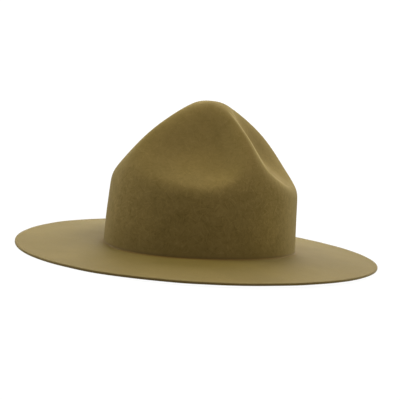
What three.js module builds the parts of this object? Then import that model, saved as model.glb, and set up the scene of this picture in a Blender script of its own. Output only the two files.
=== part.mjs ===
// Campaign hat: crown and brim blocked from one felt, with a rounded peak between four dents.
// Millimetres, +Z up. The front of the hat faces -Y, and the wearer's left is +X.
// The origin lies on the surface that the hat rests on, under the middle of the brim.
import * as THREE from "three";

// Driving dimensions
const HEAD_LENGTH = 190.5; // head opening, front to back, inside the felt
const HEAD_WIDTH = 171.5; // head opening, side to side, inside the felt
const FELT = 2.2; // thickness of the felt
const CROWN_HEIGHT = 141.3; // from the brim at the crown's foot to the top of the peak, outside
const CROWN_SETBACK = 1.8; // the crown's middle lies this far behind the brim's
const PEAK_LEAD = 2.5; // the peak lies this far before the crown's middle
const BRIM_WIDTH = 82; // from the crown's foot to the cut edge
const BRIM_DIP = 1.75; // the brim sinks by this at the front and back, and lifts by it at the sides
const BRIM_FALL = 3; // the cut edge lies this far below the crown's foot
const SEAT_WIDTH = 14; // strip of the brim next to the crown's foot that doesn't fall away
const FOOT_ROUND = 1.2; // radius, outside, of the turn from brim to crown
const EDGE_ROUND = 0.8; // radius on both corners of the cut edge

// Sections of the crown, from its foot to its top. "out" is a share of the foot's own radius and "up" a share of
// the crown's height. They hold along the four ridges, and dentOut and dentUp hold down the middle of the dents.
// A ridge with more pinch is narrower; the end ridges are those at the front and back, and the side ridges those
// over the ears. "rows" counts the rows of facets from a section up to the next one.
const SECTIONS = [
  { name: "foot", out: 1, up: 0, dentOut: 1, dentUp: 0, endPinch: 1, sidePinch: 1, rows: 2 },
  { name: "wall", out: 1.0025, up: 0.16, dentOut: 0.98, dentUp: 0.19, endPinch: 1, sidePinch: 1, rows: 2 },
  { name: "bend", out: 0.982, up: 0.364, dentOut: 0.969, dentUp: 0.358, endPinch: 0.95, sidePinch: 0.85, rows: 3 },
  { name: "lip", out: 0.941, up: 0.533, dentOut: 0.916, dentUp: 0.45, endPinch: 1.1, sidePinch: 0.95, rows: 4 },
  { name: "floor", out: 0.82, up: 0.673, dentOut: 0.711, dentUp: 0.533, endPinch: 1.48, sidePinch: 1.46, rows: 3 },
  { name: "slope", out: 0.665, up: 0.779, dentOut: 0.51, dentUp: 0.638, endPinch: 1.55, sidePinch: 1.47, rows: 3 },
  { name: "flank", out: 0.5, up: 0.861, dentOut: 0.386, dentUp: 0.76, endPinch: 1.28, sidePinch: 1.4, rows: 2 },
  { name: "neck", out: 0.343, up: 0.926, dentOut: 0.282, dentUp: 0.888, endPinch: 1.2, sidePinch: 0.82, rows: 2 },
  { name: "brow", out: 0.18, up: 0.977, dentOut: 0.17, dentUp: 0.977, endPinch: 1.05, sidePinch: 0.85, rows: 3 },
  { name: "peak", out: 0, up: 1, dentOut: 0, dentUp: 1, endPinch: 1, sidePinch: 1, rows: 0 },
];

// The dents, alike on both sides: the angle of a dent's middle from the front, and its depth as a share.
const FRONT_DENT = { angle: THREE.MathUtils.degToRad(57.5), depth: 1 };
const BACK_DENT = { angle: THREE.MathUtils.degToRad(132), depth: 0.98 };
const RIDGE_ROUND = 0.86; // with 1 the ridges are round, and with less they come nearer to an edge

// Facets
const COLUMNS = 80;
const FALL_ROWS = 3; // rows on the falling part of the brim
const FOOT_ROWS = 3; // rows on the turn from brim to crown
const EDGE_ROWS = 2; // rows on each corner of the cut edge
const STEP = 1e-4; // for taking slopes, in radians and in zones of the path

// Zones of the path that the felt's outer face follows, from the cut edge in to the peak
const FALL = 0;
const SEAT = 1;
const FOOT = 2;
const CROWN = 3;
const PEAK = 4;

const lerp = THREE.MathUtils.lerp;
const quarterTurn = Math.PI / 2;
const footWidth = HEAD_WIDTH / 2 + FELT;
const footLength = HEAD_LENGTH / 2 + FELT;
const footLevel = BRIM_FALL + BRIM_DIP + FELT;
const edgeRound = Math.min(EDGE_ROUND, FELT / 2);
const cutReach = BRIM_WIDTH - edgeRound; // where the rounding of the cut edge begins

// The second derivatives, at its points, of a cubic spline through values that are 1 apart. The spline has no
// bend at its first point, and at its last one it has no bend or, if it ends level, no slope.
function splineBends(values, endsLevel) {
  const bends = values.map(() => 0);
  const carried = values.map(() => 0);
  const last = values.length - 1;
  for (let i = 1; i < last; i++) {
    const pivot = 4 - carried[i - 1];
    const turn = 6 * (values[i + 1] - 2 * values[i] + values[i - 1]);
    carried[i] = 1 / pivot;
    bends[i] = (turn - bends[i - 1]) / pivot;
  }
  if (endsLevel) {
    const turn = 6 * (values[last - 1] - values[last]);
    bends[last] = (turn - bends[last - 1]) / (2 - carried[last - 1]);
  }
  for (let i = last - 1; i > 0; i--) {
    bends[i] -= carried[i] * bends[i + 1];
  }
  return bends;
}

// One column of the table as a smooth function of the place among the sections.
function smoothColumn(name, endsLevel = false) {
  const values = SECTIONS.map((section) => section[name]);
  const bends = splineBends(values, endsLevel);
  return (place) => {
    const i = Math.min(Math.floor(place), values.length - 2);
    const after = place - i;
    const before = 1 - after;
    const curve = (before ** 3 - before) * bends[i] + (after ** 3 - after) * bends[i + 1];
    return lerp(values[i], values[i + 1], after) + curve / 6;
  };
}

const ridgeOut = smoothColumn("out");
const ridgeUp = smoothColumn("up", true);
const dentOut = smoothColumn("dentOut");
const dentUp = smoothColumn("dentUp", true);
const endPinch = smoothColumn("endPinch");
const sidePinch = smoothColumn("sidePinch");

// How far the felt is pushed in at an angle from the front: 0 along a ridge, the dent's depth down its middle.
function dentShare(angle, place) {
  const fromFront = Math.abs(Math.atan2(Math.sin(angle), Math.cos(angle)));
  const atFront = fromFront < quarterTurn;
  const dent = atFront ? FRONT_DENT : BACK_DENT;
  const atEnd = atFront ? fromFront < dent.angle : fromFront > dent.angle;
  const endRidge = atFront ? 0 : Math.PI;
  const ridge = atEnd ? endRidge : quarterTurn;
  const pinch = atEnd ? endPinch(place) : sidePinch(place);
  const across = ((fromFront - ridge) / (dent.angle - ridge)) ** RIDGE_ROUND;
  return dent.depth * (1 - Math.cos(across * quarterTurn) ** (2 * pinch));
}

// A point of the oval plan: its half-width, half-length, distance behind the brim's middle, and level.
function planPoint(angle, width, length, back, level) {
  return new THREE.Vector3(width * Math.sin(angle), back - length * Math.cos(angle), level);
}

// How far the felt lies below its mean level at an angle: lowest at the front and back.
function dip(angle) {
  return BRIM_DIP * Math.cos(2 * angle);
}

function brimPoint(angle, reach, level) {
  const back = CROWN_SETBACK * (1 - reach / BRIM_WIDTH);
  return planPoint(angle, footWidth + reach, footLength + reach, back, level - dip(angle));
}

function fallPoint(angle, inward) {
  const reach = lerp(cutReach, SEAT_WIDTH, inward);
  const fallen = THREE.MathUtils.smoothstep(reach, SEAT_WIDTH, BRIM_WIDTH);
  return brimPoint(angle, reach, footLevel - BRIM_FALL * fallen);
}

function footPoint(angle, turned) {
  const turn = turned * quarterTurn;
  const level = footLevel + FOOT_ROUND * (1 - Math.cos(turn));
  return brimPoint(angle, FOOT_ROUND * (1 - Math.sin(turn)), level);
}

function crownPoint(angle, climbed) {
  const place = climbed * (SECTIONS.length - 1);
  const pushed = dentShare(angle, place);
  const out = lerp(ridgeOut(place), dentOut(place), pushed);
  const up = lerp(ridgeUp(place), dentUp(place), pushed);
  const back = CROWN_SETBACK - PEAK_LEAD * climbed ** 2;
  const level = footLevel + FOOT_ROUND + (CROWN_HEIGHT - FOOT_ROUND) * up;
  return planPoint(angle, footWidth * out, footLength * out, back, level - dip(angle) * (1 - climbed) ** 2);
}

// The felt's outer face at an angle from the front and a place on the path.
function facePoint(angle, path) {
  if (path < SEAT) return fallPoint(angle, path - FALL);
  if (path < FOOT) return brimPoint(angle, lerp(SEAT_WIDTH, FOOT_ROUND, path - SEAT), footLevel);
  if (path < CROWN) return footPoint(angle, path - FOOT);
  return crownPoint(angle, Math.min(path, PEAK) - CROWN);
}

// The outer face's point there, with the directions out of the felt and, along it, out over the brim.
function faceFrame(angle, path) {
  const round = facePoint(angle + STEP, path).sub(facePoint(angle - STEP, path));
  const nearer = facePoint(angle, path + STEP);
  const outward = facePoint(angle, Math.max(path - STEP, FALL)).sub(nearer).normalize();
  const away = new THREE.Vector3().crossVectors(outward, round).normalize();
  return { point: facePoint(angle, path), away, outward };
}

function ring(pointAt) {
  return Array.from({ length: COLUMNS }, (_, column) => pointAt((column / COLUMNS) * 2 * Math.PI));
}

// Places on the path of the rings of facet corners, from the cut edge to the last one below the peak.
function ringPlaces() {
  const rowsFrom = (start, span, rows) => Array.from({ length: rows }, (_, i) => start + (span * i) / rows);
  const span = 1 / (SECTIONS.length - 1);
  const crown = SECTIONS.flatMap(({ rows }, i) => rowsFrom(CROWN + i * span, span, rows));
  return [...rowsFrom(FALL, 1, FALL_ROWS), SEAT, ...rowsFrom(FOOT, 1, FOOT_ROWS), ...crown];
}

// The cut edge's rings, from the brim's top round to its underside, with both corners rounded.
function edgeRings() {
  const edgeRing = (out, down) =>
    ring((angle) => {
      const { point, away, outward } = faceFrame(angle, FALL);
      return point.addScaledVector(outward, out).addScaledVector(away, -down);
    });
  const top = [];
  const under = [];
  for (let i = 1; i <= EDGE_ROWS; i++) {
    const turn = (i / EDGE_ROWS) * quarterTurn;
    const out = edgeRound * Math.sin(turn);
    const down = edgeRound * (1 - Math.cos(turn));
    top.push(edgeRing(out, down));
    under.unshift(edgeRing(out, FELT - down));
  }
  return [...top, ...under];
}

// One closed surface from a first pole, over the rings in turn, to a last pole.
function closedSurface(firstPole, rings, lastPole) {
  const points = [firstPole, ...rings.flat(), lastPole];
  const corner = (row, column) => 1 + row * COLUMNS + (column % COLUMNS);
  const lastRow = rings.length - 1;
  const faces = [];
  for (let column = 0; column < COLUMNS; column++) {
    const next = column + 1;
    faces.push(0, corner(0, column), corner(0, next));
    for (let row = 0; row < lastRow; row++) {
      faces.push(corner(row, column), corner(row + 1, column), corner(row + 1, next));
      faces.push(corner(row, column), corner(row + 1, next), corner(row, next));
    }
    faces.push(corner(lastRow, next), corner(lastRow, column), points.length - 1);
  }
  const geometry = new THREE.BufferGeometry().setFromPoints(points);
  geometry.setIndex(faces);
  geometry.computeVertexNormals();
  return geometry;
}

// The felt body: its outer face from the peak down to the cut edge, the edge, and its inner face back up.
function feltBody() {
  const places = ringPlaces();
  const outer = places.map((path) => ring((angle) => facePoint(angle, path)));
  const inner = places.map((path) =>
    ring((angle) => {
      const { point, away } = faceFrame(angle, path);
      return point.addScaledVector(away, -FELT);
    }),
  );
  const peak = facePoint(0, PEAK);
  const innerPeak = peak.clone().setZ(peak.z - FELT);
  return closedSurface(peak, [...outer.reverse(), ...edgeRings(), ...inner], innerPeak);
}

const felt = new THREE.MeshStandardMaterial({ color: 0x7a663a, roughness: 0.95, metalness: 0 });

const hat = new THREE.Group();
const body = new THREE.Mesh(feltBody(), felt);
body.name = "felt_body";
hat.add(body);

export default hat;
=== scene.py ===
"""Campaign hat: the looks of its blocked felt, on a plain floor in soft studio light.

Metres, +Z up. The front of the hat faces -Y, and the wearer's left is +X.
"""

import math

import bmesh
import bpy
from mathutils import Matrix, Vector


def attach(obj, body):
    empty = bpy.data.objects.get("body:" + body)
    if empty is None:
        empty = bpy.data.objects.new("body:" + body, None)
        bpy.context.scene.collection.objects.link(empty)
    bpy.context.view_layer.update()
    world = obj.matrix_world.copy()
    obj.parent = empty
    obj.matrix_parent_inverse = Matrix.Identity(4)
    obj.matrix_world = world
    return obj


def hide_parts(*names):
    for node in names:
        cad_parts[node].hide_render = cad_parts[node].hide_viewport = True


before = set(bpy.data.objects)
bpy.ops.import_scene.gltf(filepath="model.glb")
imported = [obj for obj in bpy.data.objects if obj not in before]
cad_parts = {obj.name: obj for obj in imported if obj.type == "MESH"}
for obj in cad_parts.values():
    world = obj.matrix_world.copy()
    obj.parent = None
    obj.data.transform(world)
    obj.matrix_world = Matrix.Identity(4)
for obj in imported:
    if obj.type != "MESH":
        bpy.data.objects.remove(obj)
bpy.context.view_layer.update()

# Sizes of the felt, in metres and radians, by the names that its tree gives them
FELT_SIZES = {
    "Head length": 0.1905,  # head opening, front to back, inside the felt
    "Head width": 0.1715,  # head opening, side to side, inside the felt
    "Felt": 0.0022,  # thickness of the felt
    "Crown height": 0.1413,  # from the brim at the crown's foot to the top of the peak, outside
    "Crown setback": 0.0018,  # the crown's middle lies this far behind the brim's
    "Peak lead": 0.0025,  # the peak lies this far before the crown's middle
    "Brim width": 0.082,  # from the crown's foot to the cut edge
    "Brim dip": 0.00175,  # the brim sinks by this at the front and back, and lifts by it at the sides
    "Brim fall": 0.003,  # the cut edge lies this far below the crown's foot
    "Seat width": 0.014,  # strip of the brim next to the crown's foot that doesn't fall away
    "Foot round": 0.0012,  # radius, outside, of the turn from brim to crown
    "Edge round": 0.0008,  # radius on both corners of the cut edge
    "Front dent angle": math.radians(57.5),  # from the front round to the middle of a front dent
    "Front dent depth": 1.0,
    "Back dent angle": math.radians(132),
    "Back dent depth": 0.98,
    "Ridge round": 0.86,  # with 1 the ridges are round, and with less they come nearer to an edge
}

# Sections of the crown, from its foot to its top: the ridges' share of the foot's radius and of the crown's
# height, the same down the middle of the dents, and how much the ridges at the ends and sides are pinched
SECTIONS = [
    (1.000, 0.000, 1.000, 0.000, 1.00, 1.00),  # foot
    (1.0025, 0.160, 0.980, 0.190, 1.00, 1.00),  # wall
    (0.982, 0.364, 0.969, 0.358, 0.95, 0.85),  # bend
    (0.941, 0.533, 0.916, 0.450, 1.10, 0.95),  # lip
    (0.820, 0.673, 0.711, 0.533, 1.48, 1.46),  # floor
    (0.665, 0.779, 0.510, 0.638, 1.55, 1.47),  # slope
    (0.500, 0.861, 0.386, 0.760, 1.28, 1.40),  # flank
    (0.343, 0.926, 0.282, 0.888, 1.20, 0.82),  # neck
    (0.180, 0.977, 0.170, 0.977, 1.05, 0.85),  # brow
    (0.000, 1.000, 0.000, 1.000, 1.00, 1.00),  # peak
]
LEVEL_ENDS = (False, True, False, True, False, False)  # columns whose curve is level at the peak
STEPS = 16  # places worked out from one section to the next

# Facets of the felt: columns round the hat, and rows along its outer face and round the cut edge
FELT_FACETS = {
    "Columns": 256,
    "Crown rows": 112,
    "Foot rows": 8,
    "Seat rows": 10,
    "Fall rows": 24,
    "Edge rows": 4,
}

# Where the felt's painted shade and painted highlight lie, in metres, radians and shares of the way up the
# crown
FINISH_PLACES = {
    "Crease reach": 0.005,  # the painted crease shade reaches this far out from the crown's foot
    "Shade reach": 0.06,  # its faint painted shade reaches this far out over the brim
    "Highlight angle": math.radians(92.5),  # from the front round to the painted highlight line where it follows a ridge
    "Highlight radius": 0.075,  # of the crown, about halfway along the painted highlight line
    "Highlight bend": 0.0061,  # with more, the line leaves the ridge higher up
    "Highlight reach": 0.0022,  # the line fades out this far from its middle
    "Lip climb": 0.335,  # how far up the crown the lip lies that the line comes to
}

# Unevenness of the hand-blocked felt
UNEVENNESS = {
    "Unevenness": 0.0004,  # at most, either way
    "Unevenness span": 0.05,  # from one swell to the next
    "Seed": 3.0,
}

QUARTER_TURN = math.pi / 2
RIDGES = 4  # at the front, at the back and over each ear
CROWDING = 0.5  # share by which the columns lie closer together on the ridges than they would evenly
TURN = 2  # the felt's path: 0 to 1 up the brim, 2 where it turns, 3 at the crown's foot, 4 at the peak
FOOT = 3
PEAK = 4
ANGLE_STEP = 0.01  # steps for taking slopes round the hat and along the path
PATH_STEP = 0.004
WELD = 1e-6  # points nearer to each other than this are one point
FLOOR_LEVEL = (-1, -1, 0)  # lowest place for a point of the felt, with the sides well clear of it
CREASE_SHARE = 0.75  # share of the dark painted shade at the crown's foot, with the faint painted shade as the rest
CREASE_FADE = 4  # the painted crease shade fades within the last quarter of the turn
WALL_CREASE = 0.4  # share of the painted crease shade that the wall's first row keeps

# Colours of the felt, and of its painted highlight and painted shade. The strands and the brim multiply the
# wool's colour.
DARK_WOOL = (0.0669, 0.0438, 0.0099, 1)
PALE_WOOL = (0.1549, 0.1022, 0.0258, 1)
DARK_STRANDS = (0.6, 0.58, 0.3, 1)
PALE_STRANDS = (1.4, 1.42, 1.7, 1)
UNTINTED = (1, 1, 1, 1)
BRIM_TINT = (0.75, 0.725, 0.6, 1)
# Painted highlight along the crests of the side ridges
CREST_HIGHLIGHT_WOOL = (0.275, 0.21, 0.075, 1)
# Painted shade in the crease at the crown's foot
CREASE_SHADE_WOOL = (0.080, 0.042, 0.003, 1)
# Painted shade on the cut edge
CUT_EDGE_SHADE_WOOL = (0.040, 0.022, 0.001, 1)

# How rough the felt looks on the brim, on the straight wall and on the dented top
BRIM_ROUGH, WALL_ROUGH, TOP_ROUGH = 0.45, 1.05, 0.6

# Where the finish, the painted paler top and the painted highlight change on the way up the crown, with its
# foot at 0 and its peak at 1
BRIM_ENDS = (0, 0.01)
WALL_BEGINS = (0, 0.03)
DENTS_BEGIN = (0.2, 0.46)
CREST_HIGHLIGHT_BEGINS = (0.33, 0.4)
CREST_HIGHLIGHT_ENDS = (0.75, 0.85)

CREST_HIGHLIGHT_SHARE = 0.65  # of the painted highlight's colour, in the middle of its line
CUT_EDGE_SHADE_SHARE = 0.6  # of the painted shade's colour, in the middle of the cut edge
COAT_SHARE = 0.18  # of a soft shine on the brim, which is pressed smoother


class Wire:
    """A node's output. Python's operators on it add Math nodes, and its methods Vector Math nodes."""

    def __init__(self, nodes, socket):
        self.nodes = nodes
        self.socket = socket

    def other(self, name):
        return Wire(self.nodes, find_socket(self.socket.node.outputs, name))

    def maths(self, operation, *values, clamped=False):
        settings = {"operation": operation, "use_clamp": clamped}
        return self.nodes.add("ShaderNodeMath", settings, dict(enumerate(values)))

    def __add__(self, other):
        return self.maths("ADD", self, other)

    def __sub__(self, other):
        return self.maths("SUBTRACT", self, other)

    def __rsub__(self, other):
        return self.maths("SUBTRACT", other, self)

    def __mul__(self, other):
        return self.maths("MULTIPLY", self, other)

    def __truediv__(self, other):
        return self.maths("DIVIDE", self, other)

    def __rtruediv__(self, other):
        return self.maths("DIVIDE", other, self)

    def __pow__(self, other):
        return self.maths("POWER", self, other)

    def __abs__(self):
        return self.maths("ABSOLUTE", self)

    def __lt__(self, other):
        return self.maths("LESS_THAN", self, other)

    def __gt__(self, other):
        return self.maths("GREATER_THAN", self, other)

    __radd__ = __add__
    __rmul__ = __mul__

    def clamped(self):
        return self.maths("ADD", self, 0, clamped=True)

    def sine(self):
        return self.maths("SINE", self)

    def cosine(self):
        return self.maths("COSINE", self)

    def at_most(self, other):
        return self.maths("MINIMUM", self, other)

    def at_least(self, other):
        return self.maths("MAXIMUM", self, other)

    def vector(self, operation, *values):
        inputs = dict(enumerate(values, 1))
        return self.nodes.add("ShaderNodeVectorMath", {"operation": operation}, {0: self, **inputs})

    def plus(self, other):
        return self.vector("ADD", other)

    def minus(self, other):
        return self.vector("SUBTRACT", other)

    def times(self, other):
        return self.vector("MULTIPLY", other)

    def cross(self, other):
        return self.vector("CROSS_PRODUCT", other)

    def dot(self, other):
        return self.vector("DOT_PRODUCT", other)

    def unit(self):
        return self.vector("NORMALIZE")

    def scaled(self, factor):
        return self.nodes.add("ShaderNodeVectorMath", {"operation": "SCALE"}, {0: self, "Scale": factor})


class Nodes:
    """The nodes of one tree in the making."""

    def __init__(self, tree):
        self.tree = tree

    def add(self, kind, settings=None, inputs=None):
        """Adds a node with settings, and values or wires in its sockets, and gives its first output."""
        node = self.tree.nodes.new(kind)
        for name, value in (settings or {}).items():
            setattr(node, name, value)
        for key, value in (inputs or {}).items():
            socket = find_socket(node.inputs, key)
            if isinstance(value, Wire):
                self.tree.links.new(value.socket, socket)
            else:
                socket.default_value = value
        first = next((socket for socket in node.outputs if socket.enabled), None)
        return first and Wire(self, first)

    def colours(self, first, second, share):
        return self.add("ShaderNodeMix", {"data_type": "RGBA"}, {"Factor": share, "A": first, "B": second})

    def inputs(self, kinds):
        """Gives a node group its inputs, and their wires by name."""
        for name, kind in kinds.items():
            self.tree.interface.new_socket(name=name, in_out="INPUT", socket_type="NodeSocket" + kind)
        given = self.add("NodeGroupInput")
        return {name: given.other(name) for name in kinds}

    def output(self, name, kind, wire):
        self.tree.interface.new_socket(name=name, in_out="OUTPUT", socket_type="NodeSocket" + kind)
        self.add("NodeGroupOutput", None, {name: wire})


def find_socket(sockets, key):
    """The socket of that number, or the one in use that has that name."""
    if isinstance(key, int):
        return sockets[key]
    return next(socket for socket in sockets if socket.enabled and socket.name == key)


def between(start, end, share):
    return start + (end - start) * share


def smooth_column(values, ends_level):
    """A natural cubic spline through values 1 apart, at each of its steps. It may end with no slope."""
    last = len(values) - 1
    bends, carried = [0.0] * len(values), [0.0] * len(values)
    for i in range(1, last):
        pivot = 4 - carried[i - 1]
        carried[i] = 1 / pivot
        bends[i] = (6 * (values[i + 1] - 2 * values[i] + values[i - 1]) - bends[i - 1]) / pivot
    if ends_level:
        bends[last] = (6 * (values[last - 1] - values[last]) - bends[last - 1]) / (2 - carried[last - 1])
    for i in range(last - 1, 0, -1):
        bends[i] -= carried[i] * bends[i + 1]
    column = []
    for step in range(last * STEPS + 1):
        i = min(step // STEPS, last - 1)
        after = step / STEPS - i
        before = 1 - after
        curve = (before**3 - before) * bends[i] + (after**3 - after) * bends[i + 1]
        column.append(values[i] * before + values[i + 1] * after + curve / 6)
    return column


def section_line():
    """The smoothed sections as a straight line of points along X, one unit from section to section."""
    columns = [smooth_column(values, level) for values, level in zip(zip(*SECTIONS), LEVEL_ENDS)]
    points = [(step / STEPS, 0, 0) for step in range(len(columns[0]))]
    mesh = bpy.data.meshes.new("sections")
    mesh.from_pydata(points, [(i, i + 1) for i in range(len(points) - 1)], [])
    for name, pair in {"ridge": columns[0:2], "dent": columns[2:4], "pinch": columns[4:6]}.items():
        attribute = mesh.attributes.new(name, "FLOAT_VECTOR", "POINT")
        attribute.data.foreach_set("vector", [value for two in zip(*pair) for value in (*two, 0)])
    return mesh


def face_group():
    """The group for a point of the felt's outer face, at an angle from the front and a place on the path."""
    nodes = Nodes(bpy.data.node_groups.new("Felt face", "GeometryNodeTree"))
    kinds = {"Sections": "Geometry", **dict.fromkeys(["Angle", "Path", *FELT_SIZES], "Float")}
    size = nodes.inputs(kinds)
    angle, path = size["Angle"], size["Path"]

    # The zones of the path: up the falling brim, over its seat, round the turn, and up the crown
    fall, seat, turned, climbed = [(path - zone).clamped() for zone in range(PEAK)]
    turn = turned * QUARTER_TURN

    def section(pair):
        vectors = {"data_type": "FLOAT_VECTOR"}
        named = nodes.add("GeometryNodeInputNamedAttribute", vectors, {"Name": pair})
        place = {"Curves": size["Sections"], "Value": named, "Length": climbed * (len(SECTIONS) - 1)}
        sampled = nodes.add("GeometryNodeSampleCurve", {"mode": "LENGTH", **vectors}, place)
        first = nodes.add("ShaderNodeSeparateXYZ", None, {0: sampled})
        return first, first.other("Y")

    # How far the felt is pushed in: 0 along a ridge, the dent's depth down its middle
    from_front = abs(math.pi - abs(math.pi - angle))
    at_front = from_front < QUARTER_TURN
    dent_angle = between(size["Back dent angle"], size["Front dent angle"], at_front)
    depth = between(size["Back dent depth"], size["Front dent depth"], at_front)
    at_end = abs(at_front - (from_front > dent_angle))
    ridge = between(QUARTER_TURN, (1 - at_front) * math.pi, at_end)
    across = ((from_front - ridge) / (dent_angle - ridge)) ** size["Ridge round"]
    end_pinch, side_pinch = section("pinch")
    pinch = between(side_pinch, end_pinch, at_end)
    pushed = depth * (1 - (across * QUARTER_TURN).cosine().at_least(0) ** (2 * pinch))

    ridge_out, ridge_up = section("ridge")
    dent_out, dent_up = section("dent")
    out = between(ridge_out, dent_out, pushed)
    up = between(ridge_up, dent_up, pushed)

    # The reach beyond the head opening, and the level above the floor
    seat_width, foot_round = size["Seat width"], size["Foot round"]
    cut_reach = size["Brim width"] - size["Edge round"]
    reach = cut_reach - (cut_reach - seat_width) * fall - (seat_width - foot_round) * seat
    reach = reach - foot_round * turn.sine()
    span = {"Value": reach, "From Min": seat_width, "From Max": size["Brim width"]}
    fallen = nodes.add("ShaderNodeMapRange", {"interpolation_type": "SMOOTHSTEP"}, span)
    foot_level = size["Brim fall"] + size["Brim dip"] + size["Felt"]
    level = foot_level - size["Brim fall"] * fallen + foot_round * (1 - turn.cosine())
    level = level + (size["Crown height"] - foot_round) * up
    dip = size["Brim dip"] * (angle * 2).cosine() * (1 - climbed) ** 2
    back = size["Crown setback"] * (1 - reach / size["Brim width"]) - size["Peak lead"] * climbed**2
    half_width = (size["Head width"] / 2 + size["Felt"]) * out + reach
    half_length = (size["Head length"] / 2 + size["Felt"]) * out + reach
    point = {"X": half_width * angle.sine(), "Y": back - half_length * angle.cosine(), "Z": level - dip}
    nodes.output("Point", "Vector", nodes.add("ShaderNodeCombineXYZ", None, point))
    return nodes.tree


def crease_shade_mask(given, path):
    """Painted shade: how dark the felt is painted in the angle at the crown's foot, and a little way out
    over the brim.
    """
    past_seat = (TURN - 1 - path).clamped() * (given["Brim width"] - given["Seat width"])
    from_foot = (TURN - path).clamped() * given["Seat width"] + past_seat
    close, near = [(1 - from_foot / given[reach]).clamped() for reach in ("Crease reach", "Shade reach")]
    below_wall = (FOOT - path) * CREASE_FADE
    up_to_wall = (below_wall + (path < FOOT + PATH_STEP) * WALL_CREASE).clamped()
    return up_to_wall * between(near**2, close, CREASE_SHARE)


def crest_highlight_mask(given, angle, climb):
    """A painted highlight line down the crest of each side ridge, which bends back at its foot along the
    back dent's lip.
    """
    past_ridge = angle.at_most(math.tau - angle) - given["Highlight angle"]
    over_lip = climb - given["Lip climb"]
    slant = ((over_lip / given["Highlight radius"]) ** 2 + (past_ridge / given["Crown height"]) ** 2) ** 0.5
    off_line = abs(past_ridge * over_lip - given["Highlight bend"]) / slant
    return (1 - off_line / given["Highlight reach"]).clamped()


def felt_tree():
    """The tree that blocks the felt: outer face from the peak to the cut edge, and inner face back up."""
    nodes = Nodes(bpy.data.node_groups.new("Blocked felt", "GeometryNodeTree"))
    kinds = {"Sections": "Geometry", "Finish": "Material", **dict.fromkeys(FELT_FACETS, "Int")}
    kinds |= dict.fromkeys([*FELT_SIZES, *FINISH_PLACES, *UNEVENNESS], "Float")
    given = nodes.inputs(kinds)

    # A flat grid, with a column for each angle and a row for each place along the felt and back
    edge_rows = given["Edge rows"]
    outer_rows = given["Crown rows"] + given["Foot rows"] + given["Seat rows"] + given["Fall rows"]
    rows = (outer_rows + edge_rows) * 2 + 1
    counts = {"Size X": 1, "Size Y": rows, "Vertices X": given["Columns"] + 1, "Vertices Y": rows + 1}
    grid = nodes.add("GeometryNodeMeshGrid", None, counts)
    across = nodes.add("ShaderNodeSeparateXYZ", None, {0: nodes.add("GeometryNodeInputPosition")})
    even = (0.5 - across) * 2 * math.pi
    angle = even - (even * RIDGES).sine() * (CROWDING / RIDGES)
    row = nodes.add("ShaderNodeMath", {"operation": "ROUND"}, {0: across.other("Y") + rows / 2})

    # Down the path from the peak, zone by zone, and the same way back
    path, before = PEAK, 0
    for zone in ("Crown rows", "Foot rows", "Seat rows", "Fall rows"):
        walked = ((row.at_most(rows - row) - before) / given[zone]).clamped()
        path = path - walked
        before = before + given[zone]

    # Round the cut edge: its first corner, the flat between, and its second corner
    past = row - outer_rows
    corners = (past / edge_rows).clamped() + ((past - edge_rows - 1) / edge_rows).clamped()
    turn = corners * QUARTER_TURN
    out = given["Edge round"] * turn.sine()
    flat = given["Felt"] - given["Edge round"] * 2
    down = given["Edge round"] * (1 - turn.cosine()) + flat * (past - edge_rows).clamped()

    group = face_group()
    sections = nodes.add("GeometryNodeMeshToCurve", None, {"Mesh": given["Sections"]})

    def face(angle, path):
        sizes = {name: given[name] for name in FELT_SIZES}
        values = {"Sections": sections, "Angle": angle, "Path": path, **sizes}
        return nodes.add("GeometryNodeGroup", {"node_tree": group}, values)

    # The inner face lies behind the outer one, and both are a little uneven
    point = face(angle, path)
    sloped = path.at_most(PEAK - PATH_STEP)
    around = face(angle + ANGLE_STEP, sloped).minus(face(angle - ANGLE_STEP, sloped))
    outward = face(angle, (sloped - PATH_STEP).at_least(0)).minus(face(angle, sloped + PATH_STEP)).unit()
    away = outward.cross(around).unit()
    spot = {"Vector": point, "W": given["Seed"], "Scale": 1 / given["Unevenness span"], "Detail": 1}
    swell = nodes.add("ShaderNodeTexNoise", {"noise_dimensions": "4D"}, spot) * 2 - 1
    lift = swell * given["Unevenness"] - down
    place = point.plus(outward.scaled(out)).plus(away.scaled(lift))
    # Where the brim rests, its lowest felt is pressed flat
    place = place.vector("MAXIMUM", FLOOR_LEVEL)

    # The masks, among them those of the painted shade and the painted highlight, are kept while the grid is
    # still flat
    climb = (path - FOOT).clamped()
    crest_highlight = crest_highlight_mask(given, angle, climb) * (row < rows / 2)
    masks = {"cut_edge_shade": turn.sine(), "crease": crease_shade_mask(given, path), "climb": climb, "crest_highlight": crest_highlight}
    felt = grid
    for name, mask in masks.items():
        kept = {"Geometry": felt, "Name": name, "Value": mask}
        felt = nodes.add("GeometryNodeStoreNamedAttribute", {"data_type": "FLOAT", "domain": "POINT"}, kept)
    felt = nodes.add("GeometryNodeSetPosition", None, {"Geometry": felt, "Position": place})
    felt = nodes.add("GeometryNodeMergeByDistance", None, {"Geometry": felt, "Distance": WELD})
    felt = nodes.add("GeometryNodeSetShadeSmooth", None, {"Geometry": felt})
    felt = nodes.add("GeometryNodeRealizeInstances", None, {"Geometry": felt})
    felt = nodes.add("GeometryNodeSetMaterial", None, {"Geometry": felt, "Material": given["Finish"]})
    nodes.output("Felt", "Geometry", felt)
    return nodes.tree


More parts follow.
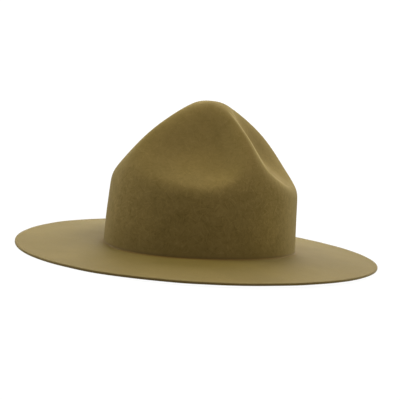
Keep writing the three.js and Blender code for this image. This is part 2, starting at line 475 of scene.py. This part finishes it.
def grown(name, start, tree, values):
    """The piece that a Geometry Nodes tree makes from a starting mesh, as a plain mesh."""
    piece = bpy.data.objects.new(name, start)
    bpy.context.scene.collection.objects.link(piece)
    modifier = piece.modifiers.new("growth", "NODES")
    modifier.node_group = tree
    for item in tree.interface.items_tree:
        if item.in_out == "INPUT" and item.name in values:
            modifier[item.identifier] = values[item.name]
    made = piece.evaluated_get(bpy.context.evaluated_depsgraph_get())
    mesh = bpy.data.meshes.new_from_object(made)
    mesh.name = name
    piece.modifiers.clear()
    piece.data = mesh
    return piece


def material_nodes(name):
    """A new material without nodes, and the nodes to be added to it."""
    material = bpy.data.materials.new(name)
    material.use_nodes = True
    material.node_tree.nodes.clear()
    return material, Nodes(material.node_tree)


def flattened(vector, normal):
    """A vector laid flat on the surface."""
    return vector.minus(normal.scaled(vector.dot(normal)))


def fibres(nodes, spot, normal, spacing, length, width):
    """A mask of short straight fibres that lie flat on the felt, one to each cell of it at most."""
    cells = nodes.add("ShaderNodeTexVoronoi", None, {"Vector": spot, "Scale": 1 / spacing})
    course = flattened(cells.other("Color").minus((0.5, 0.5, 0.5)), normal).unit()
    offset = flattened(spot.minus(cells.other("Position")), normal)
    along = offset.dot(course)
    aside = offset.minus(course.scaled(along)).vector("LENGTH")
    # A cell's colour gives its fibre's strength too, and two cells in five have none
    lot = cells.other("Color").dot((31, 17, 7)).maths("FRACT")
    strength = (lot * 2 - 0.8).clamped()
    # A fibre is full along its middle two thirds
    full = (3 - abs(along) * (6 / length)).clamped()
    return strength * (1 - aside / width).clamped() * full


def felt_finish():
    """Khaki felt: mottled wool, short fibres lying on it, a soft nap, a painted paler top, painted shade at
    the crown's foot and cut edge, and a painted highlight line on the side ridges.
    """
    material, nodes = material_nodes("khaki_felt")
    place = nodes.add("ShaderNodeTexCoord")
    spot, normal = place.other("Object"), place.other("Normal")

    def noise(scale, detail, roughness=0.5):
        values = {"Vector": spot, "Scale": scale, "Detail": detail, "Roughness": roughness}
        return nodes.add("ShaderNodeTexNoise", None, values) - 0.5

    def attribute(name):
        return nodes.add("ShaderNodeAttribute", {"attribute_name": name}).other("Fac")

    def risen(value, ends):
        span = {"Value": value, "From Min": ends[0], "From Max": ends[1]}
        return nodes.add("ShaderNodeMapRange", {"interpolation_type": "SMOOTHSTEP"}, span)

    # The crown is rougher than the brim, most of all on its straight wall
    climb = attribute("climb")
    on_brim = 1 - risen(climb, BRIM_ENDS)
    dented = risen(climb, DENTS_BEGIN)
    rough = between(BRIM_ROUGH, WALL_ROUGH, risen(climb, WALL_BEGINS)) - dented * (WALL_ROUGH - TOP_ROUGH)

    # From broad clouds down to single fibres
    clouds = noise(scale=24, detail=2)
    patches = noise(scale=85, detail=1)
    mottle = noise(scale=230, detail=2)
    grain = noise(scale=800, detail=2, roughness=0.6)
    long_pale = fibres(nodes, spot, normal, spacing=0.0095, length=0.009, width=0.0006)
    short_pale = fibres(nodes, spot, normal, spacing=0.0061, length=0.005, width=0.0004)
    pale = long_pale + short_pale
    dark = fibres(nodes, spot, normal, spacing=0.0084, length=0.008, width=0.0006)
    texture = patches * 0.4 + mottle * 0.6 + grain * 0.4 + pale * 1.1 - dark

    # Pale strands are greyer than the wool about them, and dark ones browner
    # The dented top is painted a little paler, as painted light where it faces up to the light
    tone = clouds * 0.4 + 0.5 + dented * 0.08
    wool = nodes.colours(DARK_WOOL, PALE_WOOL, tone.clamped())
    strands = nodes.colours(DARK_STRANDS, PALE_STRANDS, (texture * rough + 0.5).clamped())
    wool = wool.times(strands).times(nodes.colours(UNTINTED, BRIM_TINT, on_brim))

    # The painted highlight line begins at the lip and fades out below the peak
    line = risen(attribute("crest_highlight"), (0, 1))
    crest_highlight = line * risen(climb, CREST_HIGHLIGHT_BEGINS) * (1 - risen(climb, CREST_HIGHLIGHT_ENDS))
    wool = nodes.colours(wool, CREST_HIGHLIGHT_WOOL, crest_highlight * CREST_HIGHLIGHT_SHARE)
    # Painted shade in the angle at the crown's foot and a little way out over the brim
    wool = nodes.colours(wool, CREASE_SHADE_WOOL, attribute("crease"))
    # Painted shade on the cut edge
    wool = nodes.colours(wool, CUT_EDGE_SHADE_WOOL, attribute("cut_edge_shade") * CUT_EDGE_SHADE_SHARE)

    height = (grain * 0.5 + mottle * 0.8 + pale * 0.3) * rough
    nap = nodes.add("ShaderNodeBump", None, {"Strength": 0.5, "Distance": 0.0003, "Height": height})
    surface = nodes.add("ShaderNodeBsdfPrincipled", None, {
        "Base Color": wool,
        "Normal": nap,
        "Roughness": 0.85,
        "Specular IOR Level": 0.235,
        "Coat Weight": on_brim * COAT_SHARE,
        "Coat Roughness": 0.72,
        "Coat IOR": 1.5,
        "Sheen Weight": 0.081,
        "Sheen Roughness": 0.67,
        "Sheen Tint": (1, 0.82, 0.00, 1),
    })
    nodes.add("ShaderNodeOutputMaterial", None, {"Surface": surface})
    return material


def make_felt_body(finish):
    values = {**FELT_SIZES, **FELT_FACETS, **FINISH_PLACES, **UNEVENNESS, "Finish": finish}
    piece = grown("blocked_felt_hat", section_line(), felt_tree(), values)
    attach(piece, "root")
    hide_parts("felt_body")


# The photograph's view
EYE = Vector((0.72932, -0.51542, 0.1513))
LOOK_AZIMUTH = 54.919  # degrees from the front towards the wearer's left
LOOK_ELEVATION = 6.424
LOOK_ROLL = 5.072  # degrees clockwise in the picture
LENS = 82.416  # millimetres
FRAME_WIDTH = 36


def make_camera():
    camera = bpy.data.objects.new("camera", bpy.data.cameras.new("camera"))
    bpy.context.scene.collection.objects.link(camera)
    azimuth, elevation, roll = map(math.radians, (LOOK_AZIMUTH, LOOK_ELEVATION, LOOK_ROLL))
    facing = Matrix.Rotation(azimuth, 4, "Z") @ Matrix.Rotation(QUARTER_TURN - elevation, 4, "X")
    camera.matrix_world = Matrix.Translation(EYE) @ facing @ Matrix.Rotation(roll, 4, "Z")
    camera.data.lens = LENS
    camera.data.sensor_width = FRAME_WIDTH
    camera.data.clip_start, camera.data.clip_end = 0.01, 100
    bpy.context.scene.camera = camera


FLOOR_RADIUS = 2.2
FLOOR_GLOW = 0.97
FLOOR_GREY = (0.04, 0.04, 0.04, 1)  # under its glow
WHITE = (1, 1, 1, 1)


def make_floor():
    """A round white floor that is lit from below, as a light table is."""
    mesh = bpy.data.meshes.new("floor")
    body = bmesh.new()
    bmesh.ops.create_circle(body, cap_ends=True, radius=FLOOR_RADIUS, segments=64)
    body.to_mesh(mesh)
    body.free()
    floor = bpy.data.objects.new("floor", mesh)
    bpy.context.scene.collection.objects.link(floor)
    material, nodes = material_nodes("white_floor")
    surface = nodes.add("ShaderNodeBsdfPrincipled", None, {
        "Base Color": FLOOR_GREY,
        "Roughness": 0.9,
        "Specular IOR Level": 0,
        "Emission Color": WHITE,
        "Emission Strength": FLOOR_GLOW,
    })
    nodes.add("ShaderNodeOutputMaterial", None, {"Surface": surface})
    mesh.materials.append(material)


PLAIN_LIGHT = (1, 0.993, 0.975)
WARM_LIGHT = (1, 0.963, 0.876)

# Soft boxes that hang round the hat and point at it: degrees from the front towards the wearer's left,
# degrees above the floor, distance and width in metres, power in watts, and colour
SOFT_BOXES = {
    "overhead": (0, 90, 6.2, 3.7, 18, PLAIN_LIGHT),
    "left_high": (100, 50, 7.5, 3.7, 355, PLAIN_LIGHT),
    "back_left_high": (145, 50, 7.5, 3.7, 230, WARM_LIGHT),
    "back_low": (190, 15, 7.5, 3.9, 353, WARM_LIGHT),
    "back_right_low": (235, 15, 7.5, 3.9, 173, WARM_LIGHT),
    "back_right_high": (235, 50, 7.5, 3.7, 462, WARM_LIGHT),
    "right_low": (280, 15, 7.5, 3.9, 225, PLAIN_LIGHT),
    "front_right_low": (325, 15, 7.5, 3.9, 297, PLAIN_LIGHT),
    "front_right_high": (325, 50, 7.5, 3.7, 248, PLAIN_LIGHT),
    "under_floor": (0, -90, 6.2, 3.7, 900, PLAIN_LIGHT),  # for a look from below, with the floor taken away
}
HAT_MIDDLE = Vector((0, 0, 0.06))


def make_lights():
    for name, (azimuth, elevation, distance, width, power, colour) in SOFT_BOXES.items():
        azimuth, elevation = math.radians(azimuth), math.radians(elevation)
        across = math.cos(elevation)
        towards = Vector((math.sin(azimuth) * across, -math.cos(azimuth) * across, math.sin(elevation)))
        light = bpy.data.lights.new(name, "AREA")
        light.shape = "SQUARE"
        light.size = width
        light.energy = power
        light.color = colour
        box = bpy.data.objects.new(name, light)
        box.location = towards * distance
        box.visible_camera = False
        box.rotation_euler = (box.location - HAT_MIDDLE).to_track_quat("Z", "Y").to_euler()
        bpy.context.scene.collection.objects.link(box)


SURROUNDINGS_GLOW = 1.1


def make_surroundings():
    """White surroundings that give no light of their own, since only the picture's own rays see them."""
    world = bpy.data.worlds.new("white_surroundings")
    bpy.context.scene.world = world
    world.use_nodes = True
    world.node_tree.nodes.clear()
    nodes = Nodes(world.node_tree)
    seen = nodes.add("ShaderNodeLightPath")
    glow = {"Color": WHITE, "Strength": seen * SURROUNDINGS_GLOW}
    nodes.add("ShaderNodeOutputWorld", None, {"Surface": nodes.add("ShaderNodeBackground", None, glow)})
    bpy.context.scene.view_settings.view_transform = "Standard"


make_felt_body(felt_finish())
make_camera()
make_floor()
make_lights()
make_surroundings()
